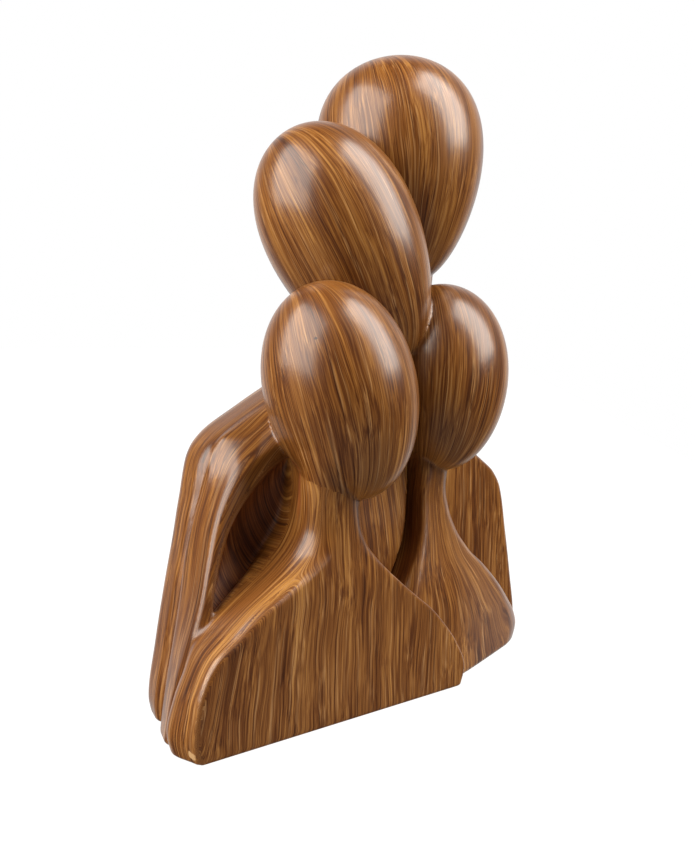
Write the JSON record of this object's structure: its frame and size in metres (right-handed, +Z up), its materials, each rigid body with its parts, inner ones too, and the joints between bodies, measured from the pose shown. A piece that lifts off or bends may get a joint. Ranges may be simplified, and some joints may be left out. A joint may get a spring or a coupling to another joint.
{
  "type": "family group sculpture",
  "caption": "Tabletop sculpture of a family group: faceless egg-shaped heads on layered busts that share one flat base.",
  "frame": {"origin": "middle of the bounding box at the underside, on the surface the sculpture stands on", "axes": "+Z up, +Y towards the back of the group, +X towards the viewer's right when facing the fronts of the busts"},
  "size_m": [0.2346, 0.1187, 0.28],
  "materials": {
    "walnut_lacquer": "walnut-brown streaked grain under a satin lacquer, with soft highlights"
  },
  "bodies": {
    "root": {"family_group": "walnut_lacquer"}
  },
  "joints": []
}
